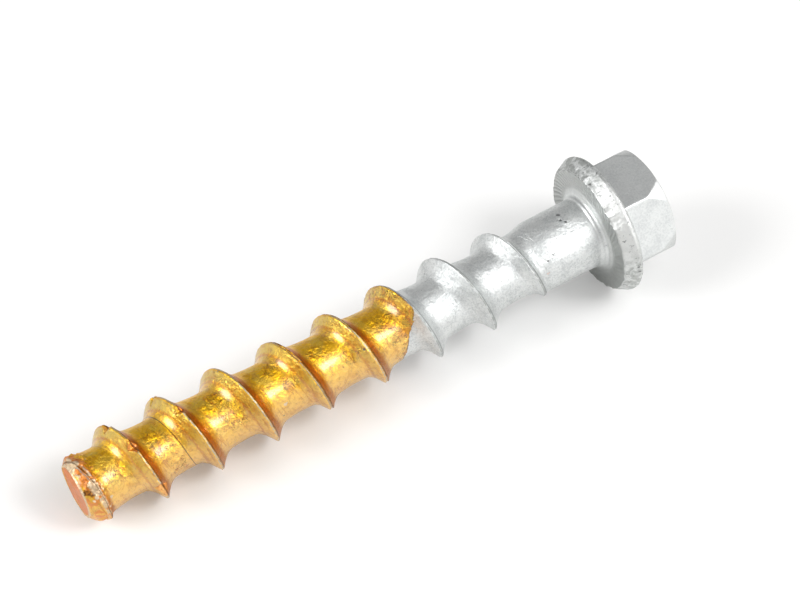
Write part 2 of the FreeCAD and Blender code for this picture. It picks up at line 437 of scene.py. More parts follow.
class BarForm:
    """The bar's surface, for an angle and a height along the wound rows."""

    def __init__(self, size, notch_sizes):
        self.size = size
        self.notch_sizes = notch_sizes

    def crest(self, along):
        """Radius of the crest where it crosses that height."""
        size = self.size
        rising = size.lead_in_radius + size.lead_in_rise * along
        sinking = size.crest_radius - (along - size.fade_start) * size.fade_slope
        crest = smooth_min(size.crest_radius, rising, 0.4 * MM)
        return smooth_min(crest, sinking, 0.5 * MM) - swell(LOW_CRESTS, along)

    def ridge(self, along, beside, crest):
        """Radius of the land and of its straight flanks."""
        half_land = (self.size.land + swell(BROAD_CRESTS, along)) / 2
        return crest - max(abs(beside) - half_land, 0) * math.tan(self.size.flank)

    def groove(self, beside, core, risen):
        """Radius of the groove's floor, hollow until the core has risen to the shank."""
        from_lowest = (beside % self.size.pitch - self.size.groove_lowest) / (self.size.pitch / 2)
        return core + self.size.groove_rise * from_lowest ** 2 * (1 - risen)

    def drifted(self, height):
        """The first turn lies nearer the head than its pitch says."""
        steady = self.size.lead_in_drift * (1 - height / self.size.lead_in_end)
        first_turn = self.size.lead_in_drift * (1 - ramp(height, 0, 2.6 * MM))
        return height + max(steady, 0) + first_turn

    def footed(self, radius, angle, height):
        """The radius with the stout foot at the sheared end."""
        foot = FOOT_RADIUS + FOOT_GROWTH * height
        on_side = 1 - ramp(abs(turned_by(angle, FOOT_SIDE)), 30, 60)
        filled = (1 - ramp(height, 3.1 * MM, 3.8 * MM)) * on_side
        return radius + max(foot - radius, 0) * filled

    def lined(self, radius, along, beside, standing):
        """The radius with the gap between the crest's lips and the rolled line."""
        in_gap = max(0.0, 1 - abs(beside - LIP_GAP_PLACE) / LIP_GAP_HALF_WIDTH)
        radius -= LIP_GAP_DEPTH * seam_strength(along) * standing * in_gap
        in_line = bell(beside, ROLLED_LINE_PLACE, ROLLED_LINE_WIDTH)
        return radius - ROLLED_LINE_DEPTH * standing * in_line

    def roughened(self, radius, spot, beside, height, above_end):
        """The radius with a ragged crest, slight waves, and chips at the sheared end."""
        ragged = grain(spot, (1.3, 0.07)) * bell(beside, 0, 0.6 * MM)
        waves = grain(spot, (0.28, 0.035), (0.9, 0.012))
        chips = 0.34 * noise.noise(spot * 0.75 + CHIPS_SHIFT) + 0.16 * noise.noise(spot * 1.9)
        chips *= (1 - ramp(height, 2.6 * MM, 4.6 * MM)) * min(max(above_end / (0.8 * MM), 0), 1)
        return radius + (ragged + chips + waves) * MM

    def place(self, angle, wound_height):
        """Radius and height of the surface, how far it lies beside the crest, and whether it is
        pressed in."""
        size = self.size
        winding = wound_height / size.pitch - (angle - size.turn) / FULL_TURN
        beside = (winding - round(winding)) * size.pitch
        along = wound_height - beside
        crest = self.crest(along)
        risen = ramp(wound_height, size.ramp_start, size.ramp_end)
        core = size.root_radius + (size.shank_radius - size.root_radius) * risen
        standing = (crest - core) / (size.crest_radius - size.root_radius)
        standing = min(max(standing, 0.04), 1.0)
        ridge, groove = self.ridge(along, beside, crest), self.groove(beside, core, risen)
        height = self.drifted(wound_height)
        radius = self.footed(smooth_max(ridge, groove, size.root_blend * standing), angle, height)
        spot = Vector((radius * math.cos(angle), radius * math.sin(angle), wound_height)) / MM
        notch = Notch(along, crest, size, self.notch_sizes)
        radius, pressed = notch.pressed(radius, spot)
        radius = self.lined(radius + notch.lip(beside), along, beside, standing)
        above_end = height - end_plane(angle, size.end_radius, size)
        radius = self.roughened(radius, spot, beside, height, above_end)
        worn_edge = size.end_radius + 1.1 * max(above_end, 0.0)
        worn_edge += 0.14 * MM * noise.noise(spot * 0.7)
        return smooth_min(radius, worn_edge, 0.25 * MM), height, beside, pressed


def lacquer_reach(angle, height):
    """Millimetres from a place up to where the lacquer ends."""
    degrees = math.degrees(angle) % 360
    for (start, low), (end, high) in zip(LACQUER_END, LACQUER_END[1:]):
        if start <= degrees <= end:
            return low + (high - low) * (degrees - start) / (end - start) - height / MM


def nearness(marks, angle, radius, height):
    """How deep inside one of the marks a place lies: 1 in its middle, 0 at its edge."""
    deepest = 0.0
    for centre, level, size in marks:
        up = height / MM - level
        if abs(up) < size:
            away = math.radians(turned_by(angle, centre)) * radius / MM
            deepest = max(deepest, 1 - math.hypot(up, away) / size)
    return deepest


def made_verts(made):
    return [item for item in made if isinstance(item, bmesh.types.BMVert)]


def open_rim(made):
    return [item for item in made if isinstance(item, bmesh.types.BMEdge) and item.is_boundary]


def off_column(angle, start):
    """How far an angle lies from the nearest column, counted from a start."""
    return (angle - start + COLUMN_STEP / 2) % COLUMN_STEP - COLUMN_STEP / 2


def wound_rows(bm, size, length):
    """A tube of rows that climb one pitch a turn, crowded together at the crest."""
    low = bm.verts.new((size.crest_radius, 0, -size.pitch))
    high = bm.verts.new((size.crest_radius, 0, 0))
    bmesh.ops.subdivide_edges(bm, edges=[bm.edges.new((low, high))], cuts=ROWS_A_PITCH - 1)
    for vert in bm.verts:
        phase = FULL_TURN * vert.co.z / size.pitch
        vert.co.z -= CROWDING * size.pitch / FULL_TURN * math.sin(phase)
    bmesh.ops.rotate(bm, verts=bm.verts, matrix=Matrix.Rotation(size.turn, 3, "Z"))
    bmesh.ops.spin(
        bm, geom=bm.verts[:] + bm.edges[:], axis=(0, 0, 1), dvec=(0, 0, size.pitch / COLUMNS),
        angle=FULL_TURN, steps=COLUMNS, use_merge=False)
    one_turn = bm.verts[:] + bm.edges[:] + bm.faces[:]
    for number in (-1, *range(1, math.ceil(length / size.pitch) + 1)):
        copy = bmesh.ops.duplicate(bm, geom=one_turn)["geom"]
        bmesh.ops.translate(bm, verts=made_verts(copy), vec=(0, 0, number * size.pitch))
    bmesh.ops.remove_doubles(bm, verts=bm.verts, dist=TURN_WELD)


def shape_bar(bm, size, notch_sizes):
    """Moves every vertex of the wound tube to the bar's surface and keeps what the coats need."""
    wound = bm.verts.layers.float_vector.new("wound")
    pressed_in = bm.verts.layers.float.new("pressed")
    form = BarForm(size, notch_sizes)
    for vert in bm.verts:
        angle = math.atan2(vert.co.y, vert.co.x)
        radius, height, beside, pressed = form.place(angle, vert.co.z)
        phase = FULL_TURN * beside / size.pitch
        vert[wound] = (math.cos(phase), math.sin(phase), vert.co.z / MM)
        vert[pressed_in] = pressed
        vert.co = (radius * math.cos(angle), radius * math.sin(angle), height)


def cut_across(bm, point, normal, keep_above):
    """Cuts the tube with a plane and returns its open rim there."""
    cut = bmesh.ops.bisect_plane(
        bm, geom=bm.verts[:] + bm.edges[:] + bm.faces[:], dist=1e-7, plane_co=point,
        plane_no=normal, clear_inner=keep_above, clear_outer=not keep_above)["geom_cut"]
    return open_rim(cut)


def even_rim(bm, rim, size):
    """Dissolves rim points that lie between the columns, where a climbing row was cut."""
    height = rim[0].verts[0].co.z
    stray = []
    for vert in {vert for edge in rim for vert in edge.verts}:
        if abs(off_column(math.atan2(vert.co.y, vert.co.x), size.turn)) > 0.02 * COLUMN_STEP:
            stray.append(vert)
    bmesh.ops.dissolve_verts(bm, verts=stray)
    return [edge for edge in bm.edges
            if edge.is_boundary and all(abs(vert.co.z - height) < 1e-6 for vert in edge.verts)]


def sheared_end(bm, rim, size):
    """Closes the tip with rows that shrink to the axis, roughened as sheared steel is."""
    sheared = bm.verts.layers.float.new("sheared")
    wound = bm.verts.layers.float_vector["wound"]
    before = 1.0
    for share in TIP_ROWS:
        made = bmesh.ops.extrude_edge_only(bm, edges=rim)["geom"]
        verts = made_verts(made)
        bmesh.ops.scale(bm, vec=(share / before, share / before, 1), verts=verts)
        inside = min((1 - share) * 6, 1)
        for vert in verts:
            spot = Vector((vert.co.x, vert.co.y, 0)) / MM
            torn = grain(spot, (0.45, 0.12), (1.6, 0.035))
            level = end_plane(math.atan2(vert.co.y, vert.co.x), vert.co.xy.length, size)
            vert.co.z = level + (END_DISH + torn) * inside * MM
            vert[sheared] = inside
            vert[wound] = (-1, 0, 0)
        rim = open_rim(made)
        before = share
    middle = sum((vert.co for vert in verts), Vector()) / len(verts)
    bmesh.ops.pointmerge(bm, verts=verts, merge_co=middle)


def tangent_turn(point, centre, radius, side):
    """Angle on the circle where a line from the point touches it; points are (radius, height)."""
    out, up = centre[0] - point[0], centre[1] - point[1]
    return math.atan2(up, out) + side * (math.asin(radius / math.hypot(out, up)) + math.pi / 2)


def hexagon_radius(angle, head):
    """Axis to the hexagon's side at that angle, with its corners a little rounded."""
    off_corner = abs((angle - head.hexagon_turn + SIXTH / 2) % SIXTH - SIXTH / 2)
    corner = head.half_flats / math.cos(SIXTH / 2)
    side = head.half_flats / math.cos(SIXTH / 2 - off_corner)
    return smooth_min(side, corner - 0.05 * MM, 0.12 * MM)


class HeadForm:
    """Places on the head's surface, each as (radius, height) for an angle."""

    def __init__(self, head, shank_radius):
        self.head = head
        self.flat_start = shank_radius + head.fillet
        self.nose = (head.flange_radius - head.rim_radius, head.bearing + head.widest)
        self.cone_end = (head.half_flats - head.rim_radius, head.bearing + head.flange_height)
        self.low = tangent_turn((head.bearing_radius, head.bearing), self.nose, head.rim_radius, -1)
        self.high = tangent_turn(self.cone_end, self.nose, head.rim_radius, 1)
        self.corner = head.half_flats / math.cos(SIXTH / 2)
        self.top = head.bearing + head.top
        self.taper_start = self.top - head.taper_length
        self.bevel_start = self.top - head.top_bevel
        self.steepness = head.taper / (self.bevel_start - self.taper_start)
        self.top_edge = self.corner - head.taper - head.bevel_width

    def fillet(self, angle, share):
        """Two low rings run round inside the fillet."""
        bend = share * math.pi / 2
        raised = sum(high * bell(share, centre, width) for centre, width, high in FILLET_RINGS) * MM
        reach = self.head.fillet - raised
        height = self.head.bearing - self.head.fillet
        return self.flat_start - reach * math.cos(bend), height + reach * math.sin(bend)

    def bearing_face(self, angle, share):
        """A shallow bead and a groove next to the fillet, and a ragged outer edge."""
        around = Vector((math.cos(angle), math.sin(angle), 0))
        ragged = grain(around, (3.1, 0.34), (9.3, 0.36), (27, 0.2))
        edge = self.head.bearing_radius + ragged * MM
        radius = self.flat_start + (edge - self.flat_start) * share
        bead = 0.07 * bell(radius, self.flat_start + 0.25 * MM, 0.18 * MM)
        groove = 0.06 * bell(radius, self.flat_start + 0.02 * MM, 0.14 * MM)
        return radius, self.head.bearing + (groove - bead) * MM

    def rim(self, angle, turn):
        """The rounded rim, a little battered."""
        around = Vector((math.cos(angle), math.sin(angle), 0.4 * turn))
        rough = grain(around, (7, 0.05), (19, 0.035)) * MM
        reach = self.head.rim_radius + rough - 0.04 * MM
        return self.nose[0] + reach * math.cos(turn), self.nose[1] + reach * math.sin(turn)

    def rim_bevel(self, angle, share):
        """The hammered bevel between the bearing face and the rim."""
        start = self.bearing_face(angle, 1)
        end = self.rim(angle, self.low)
        spot = Vector((4 * math.cos(angle), 4 * math.sin(angle), 2 * share))
        rough = 0.07 * MM * noise.noise(spot * 2.3) * math.sin(math.pi * share)
        radius = start[0] + (end[0] - start[0]) * share + rough
        return radius, start[1] + (end[1] - start[1]) * share - rough

    def rim_arc(self, angle, share):
        return self.rim(angle, self.low + (self.high - self.low) * share)

    def hexagon_foot(self, angle):
        """Where the flange's cone meets the hexagon."""
        radius = hexagon_radius(angle, self.head)
        edge = self.rim(angle, self.high)
        share = (edge[0] - radius) / (edge[0] - self.cone_end[0])
        return radius, edge[1] + (self.cone_end[1] - edge[1]) * share

    def cone(self, angle, share):
        edge, foot = self.rim(angle, self.high), self.hexagon_foot(angle)
        return edge[0] + (foot[0] - edge[0]) * share, edge[1] + (foot[1] - edge[1]) * share

    def taper_radius(self, height):
        return self.corner - (height - self.taper_start) * self.steepness

    def crease(self, angle):
        """Where a flat meets the cone that draws the corners in, or the bevel of the top."""
        radius = hexagon_radius(angle, self.head)
        on_taper = self.taper_start + (self.corner - radius) / self.steepness
        left_over = max(self.taper_radius(self.bevel_start) - radius, 0)
        on_bevel = self.bevel_start + left_over * self.head.top_bevel / self.head.bevel_width
        return radius, min(on_taper, on_bevel)

    def flat(self, angle, share):
        """A flat of the hexagon, very slightly hollow."""
        foot, end = self.hexagon_foot(angle), self.crease(angle)
        hollow = 0.03 * MM * math.sin(math.pi * share)
        return foot[0] - hollow, foot[1] + (end[1] - foot[1]) * share

    def drawn_in(self, angle, share):
        """The cone that draws a corner in."""
        radius, height = self.crease(angle)
        if height >= self.bevel_start:
            return radius, height
        height += (self.bevel_start - height) * share
        return min(radius, self.taper_radius(height)), height

    def top_bevel(self, angle, share):
        radius, height = self.drawn_in(angle, 1)
        return radius + (self.top_edge - radius) * share, height + (self.top - height) * share

    def top_face(self, angle, share):
        """The top is sunk a little inside its edge."""
        return self.top_edge * (1 - share), self.top - 0.12 * MM * ramp(share, 0.02, 0.25)

    def rows(self):
        """The head's rows in order: how far columns crowd to the corners, how bright the place
        is rubbed, whether it bears teeth, the form and its share."""
        for form, count, rubbed in (
                (self.fillet, 18, 0), (self.bearing_face, 14, 0), (self.rim_bevel, 8, 1),
                (self.rim_arc, 10, 1), (self.cone, 8, 0.35), (self.flat, 14, 0),
                (self.drawn_in, 5, 0.5), (self.top_bevel, 3, 0.6)):
            for step in range(1, count + 1):
                share = step / count
                crowd, toothed = 1, 0
                if form == self.fillet:
                    crowd, toothed = 0, 0.6 * ramp(share, 0.55, 0.85)
                elif form == self.bearing_face:
                    crowd, toothed = share, 0.6 + 0.4 * ramp(share, 0.0, 0.15)
                yield crowd, rubbed, toothed, form, share
        for share in TOP_ROWS:
            yield 1, 0, 0, self.top_face, share


def grow_head(bm, rim, head, thread):
    """Grows the flange and hexagon row by row from the open rim of the shank."""
    names = ("column", "rubbed", "toothed")
    for name in names:
        bm.verts.layers.float.new(name)
    column, bright, bitten = (bm.verts.layers.float[name] for name in names)
    wound = bm.verts.layers.float_vector["wound"]
    shift = off_column(head.hexagon_turn, thread.turn)
    for vert in {vert for edge in rim for vert in edge.verts}:
        vert[column] = math.atan2(vert.co.y, vert.co.x)
    for crowd, rubbed, toothed, form, share in HeadForm(head, thread.shank_radius).rows():
        made = bmesh.ops.extrude_edge_only(bm, edges=rim)["geom"]
        verts = made_verts(made)
        for vert in verts:
            angle = vert[column] + shift * crowd
            angle -= 0.6 * crowd * math.sin(6 * (angle - head.hexagon_turn)) / 6
            radius, height = form(angle, share)
            vert.co = (radius * math.cos(angle), radius * math.sin(angle), height)
            vert[bright] = rubbed
            vert[bitten] = toothed
            vert[wound] = (-1, 0, height / MM)
        rim = open_rim(made)
    middle = Vector((0, 0, verts[0].co.z))
    bmesh.ops.pointmerge(bm, verts=verts, merge_co=middle)
    bm.verts.layers.float.remove(column)


def keep_marks(bm):
    """Writes on every vertex how near it is to the marks and to the lacquer's end."""
    for name in (*MARKS, "lacquer"):
        bm.verts.layers.float.new(name)
    layers = {name: bm.verts.layers.float[name] for name in (*MARKS, "lacquer")}
    for vert in bm.verts:
        angle, radius = math.atan2(vert.co.y, vert.co.x), vert.co.xy.length
        vert[layers["lacquer"]] = lacquer_reach(angle, vert.co.z)
        for name, marks in MARKS.items():
            vert[layers[name]] = nearness(marks, angle, radius, vert.co.z)


def screw_mesh(thread, notch_sizes, head):
    """The whole screw as one closed mesh, laid in its place."""
    bm = bmesh.new()
    wound_rows(bm, thread, head.bearing)
    shape_bar(bm, thread, notch_sizes)
    shank_rim = cut_across(bm, (0, 0, head.bearing - head.fillet), (0, 0, 1), False)
    grow_head(bm, even_rim(bm, shank_rim, thread), head, thread)
    lean = thread.end_lean / 2 / thread.end_radius
    end_normal = (-lean * math.cos(LEAN_SIDE), -lean * math.sin(LEAN_SIDE), 1)
    tip_rim = cut_across(bm, (0, 0, thread.end_lean / 2), end_normal, True)
    sheared_end(bm, tip_rim, thread)
    bmesh.ops.remove_doubles(bm, verts=bm.verts, dist=LAST_WELD)
    bmesh.ops.recalc_face_normals(bm, faces=bm.faces)
    keep_marks(bm)
    bmesh.ops.transform(bm, matrix=laid, verts=bm.verts)
    mesh = bpy.data.meshes.new("coated_screw")
    bm.to_mesh(mesh)
    bm.free()
    return mesh


class Nodes:
    """Places nodes in one tree and links them."""

    def __init__(self, tree):
        self.tree = tree

    def add(self, kind, *feeds, **settings):
        """A new node with its settings, and its inputs fed in order."""
        node = self.tree.nodes.new(kind)
        for name, value in settings.items():
            setattr(node, name, value)
        for socket, value in zip(node.inputs, feeds):
            self.feed(socket, value)
        return node

    def feed(self, socket, value):
        if isinstance(value, bpy.types.NodeSocket):
            self.tree.links.new(value, socket)
        else:
            socket.default_value = value

    def math(self, operation, *values):
        return self.add("ShaderNodeMath", *values, operation=operation).outputs[0]

    def times(self, product, *values):
        for value in values:
            product = self.math("MULTIPLY", product, value)
        return product

    def highest(self, highest, *values):
        for value in values:
            highest = self.math("MAXIMUM", highest, value)
        return highest

    def linear(self, value, slope, start):
        """The value times the slope, plus the start."""
        return self.math("MULTIPLY_ADD", value, slope, start)

    def rest(self, share, strength=1.0):
        """What is left of 1 when the share is taken from it at a strength."""
        return self.linear(share, -strength, 1.0)

    def ramp(self, value, start, end, low=0.0, high=1.0):
        """Smoothly from low before start to high after end."""
        node = self.add(
            "ShaderNodeMapRange", value, start, end, low, high, interpolation_type="SMOOTHSTEP")
        return node.outputs["Result"]

    def band(self, value, start, full, end, gone):
        """Rises from start to full and falls from end to gone."""
        return self.times(self.ramp(value, start, full), self.ramp(value, end, gone, 1, 0))

    def noise(self, vector, scale, detail=3.0, roughness=0.5, distortion=0.0):
        """Noise with that many waves to a unit of the vector."""
        node = self.add("ShaderNodeTexNoise")
        self.feed(node.inputs["Vector"], vector)
        node.inputs["Scale"].default_value = scale
        node.inputs["Detail"].default_value = detail
        node.inputs["Roughness"].default_value = roughness
        node.inputs["Distortion"].default_value = distortion
        return node.outputs["Fac"]

    def mix(self, share, first, second, data_type="RGBA"):
        """Mixes two colours by a share."""
        node = self.add("ShaderNodeMix", data_type=data_type)
        sockets = [socket for socket in node.inputs if socket.enabled]
        for socket, value in zip(sockets, (share, first, second)):
            if socket.type == "RGBA" and not isinstance(value, bpy.types.NodeSocket):
                value = (*value, 1)
            self.feed(socket, value)
        return next(socket for socket in node.outputs if socket.enabled)

    def blend(self, share, first, second):
        """Mixes two plain values by a share."""
        return self.mix(share, first, second, "FLOAT")

    def painted(self, colour, *coats):
        """The colour with coats over it in order, each a share and a colour."""
        for share, coat in coats:
            colour = self.mix(share, colour, coat)
        return colour

    def piled(self, height, *layers):
        """The height with layers on it in order, each a share and millimetres."""
        for share, thickness in layers:
            height = self.linear(share, thickness, height)
        return height

    def attribute(self, name, output="Fac"):
        return self.add("ShaderNodeAttribute", attribute_name=name).outputs[output]

    def split(self, vector):
        return self.add("ShaderNodeSeparateXYZ", vector).outputs

    def group(self, group, **feeds):
        node = self.add("ShaderNodeGroup", node_tree=group)
        for name, value in feeds.items():
            self.feed(node.inputs[name], value)
        return node.outputs

    def upright(self):
        """Millimetres in the upright screw's own directions, tip end at 0."""
        node = self.add("ShaderNodeMapping", vector_type="TEXTURE")
        self.feed(node.inputs["Vector"], self.add("ShaderNodeTexCoord").outputs["Object"])
        node.inputs["Location"].default_value = tip_place
        node.inputs["Rotation"].default_value = laid.to_euler()
        node.inputs["Scale"].default_value = (MM, MM, MM)
        return node.outputs["Vector"]


def new_group(name, feeds, results):
    """A node group with the named inputs and outputs, and the means to fill it. An input whose
    default is None takes a vector."""
    group = bpy.data.node_groups.new(name, "ShaderNodeTree")
    for feed, default in feeds.items():
        if default is None:
            group.interface.new_socket(feed, in_out="INPUT", socket_type="NodeSocketVector")
        else:
            socket = group.interface.new_socket(feed, in_out="INPUT", socket_type="NodeSocketFloat")
            socket.default_value = default
    for result in results:
        kind = "NodeSocketColor" if result == "Color" else "NodeSocketFloat"
        group.interface.new_socket(result, in_out="OUTPUT", socket_type=kind)
    nodes = Nodes(group)
    return group, nodes, nodes.add("NodeGroupInput").outputs, nodes.add("NodeGroupOutput").inputs


def wound_place_group(pitch):
    """From the wound coordinate: millimetres beside the nearest crest and that crest's height."""
    group, nodes, fed, given = new_group("wound_place", {"Wound": None}, ("Beside", "Along"))
    parts = nodes.split(fed["Wound"])
    phase = nodes.math("ARCTAN2", parts["Y"], parts["X"])
    beside = nodes.times(phase, pitch / MM / FULL_TURN)
    nodes.feed(given["Beside"], beside)
    nodes.feed(given["Along"], nodes.math("SUBTRACT", parts["Z"], beside))
    return group


def facing_group():
    """How far a place faces an angle about the axis: 1 towards it, -1 away from it."""
    group, nodes, fed, given = new_group("facing", {"Place": None, "Angle": 0.0}, ("Facing",))
    parts = nodes.split(fed["Place"])
    around = nodes.math("ARCTAN2", parts["Y"], parts["X"])
    off = nodes.math("SUBTRACT", around, nodes.math("RADIANS", fed["Angle"]))
    nodes.feed(given["Facing"], nodes.math("COSINE", off))
    return group


def zinc_group(colours):
    """Mottled zinc coat: its colour, roughness and height in millimetres."""
    feeds = {"Place": None, "Contrast": 1.0, "Pits": 1.0}
    group, nodes, fed, given = new_group("mottled_zinc", feeds, ("Color", "Roughness", "Height"))
    broad = nodes.noise(fed["Place"], 0.35, 4, 0.55, 0.3)
    fine = nodes.noise(fed["Place"], 3.2, 5, 0.66)
    cloud = nodes.linear(fine, 0.6, nodes.times(broad, 0.4))
    light = nodes.blend(fed["Contrast"], 0.7, nodes.ramp(cloud, 0.36, 0.6))
    speck = nodes.noise(fed["Place"], 1.5, 4, 0.7, 0.3)
    pits = nodes.times(nodes.ramp(speck, 0.655, 0.72), fed["Pits"])
    colour = nodes.mix(light, colours.zinc_dark, colours.zinc_light)
    nodes.feed(given["Color"], nodes.mix(nodes.times(pits, 0.6), colour, colours.soot))
    nodes.feed(given["Roughness"], nodes.linear(pits, 0.2, nodes.linear(light, -0.1, 0.52)))
    waves = nodes.noise(fed["Place"], 1.1, 3, 0.5, 0.8)
    nodes.feed(given["Height"], nodes.piled(nodes.times(fine, 0.07), (waves, 0.12), (pits, -0.03)))
    return group


def squiggle_group():
    """Fine winding cracks in a coat: 1 on a crack, with the height of the scales between them."""
    feeds = {"Place": None, "Amount": 1.0}
    group, nodes, fed, given = new_group("squiggles", feeds, ("Crack", "Height"))
    winding = nodes.noise(fed["Place"], 1.1, 3, 0.6, 2.2)
    off_line = nodes.math("ABSOLUTE", nodes.math("SUBTRACT", winding, 0.5))
    broken = nodes.ramp(nodes.noise(fed["Place"], 0.9, 2), 0.45, 0.51)
    crack = nodes.times(nodes.ramp(off_line, 0.0, 0.026, 1, 0), broken, fed["Amount"])
    nodes.feed(given["Crack"], crack)
    scales = nodes.times(nodes.noise(fed["Place"], 1.1, 3, 0.5, 1.0), fed["Amount"])
    nodes.feed(given["Height"], nodes.linear(crack, -0.05, nodes.times(scales, 0.3)))
    return group


def streak_group():
    """Fine lines that the rolling drew along the thread: 1 on a line."""
    group, nodes, fed, given = new_group("streaks", {"Beside": 0.0, "Along": 0.0}, ("Streak",))
    place = nodes.add(
        "ShaderNodeCombineXYZ", nodes.times(fed["Beside"], 2.4), nodes.times(fed["Along"], 0.9))
    lines = nodes.ramp(nodes.noise(place.outputs["Vector"], 1.0, 4, 0.6), 0.54, 0.68)
    inside = nodes.band(fed["Beside"], -4.5, -3.5, 3.5, 4.5)
    nodes.feed(given["Streak"], nodes.times(lines, inside))
    return group


def new_material(name):
    material = bpy.data.materials.new(name)
    material.use_nodes = True
    nodes = Nodes(material.node_tree)
    return material, nodes, material.node_tree.nodes["Principled BSDF"].inputs


def feed_bump(nodes, shader, height):
    """Feeds a height in millimetres to the shader."""
    bump = nodes.add("ShaderNodeBump")
    bump.inputs["Distance"].default_value = MM
    nodes.feed(bump.inputs["Height"], height)
    nodes.feed(shader["Normal"], bump.outputs["Normal"])


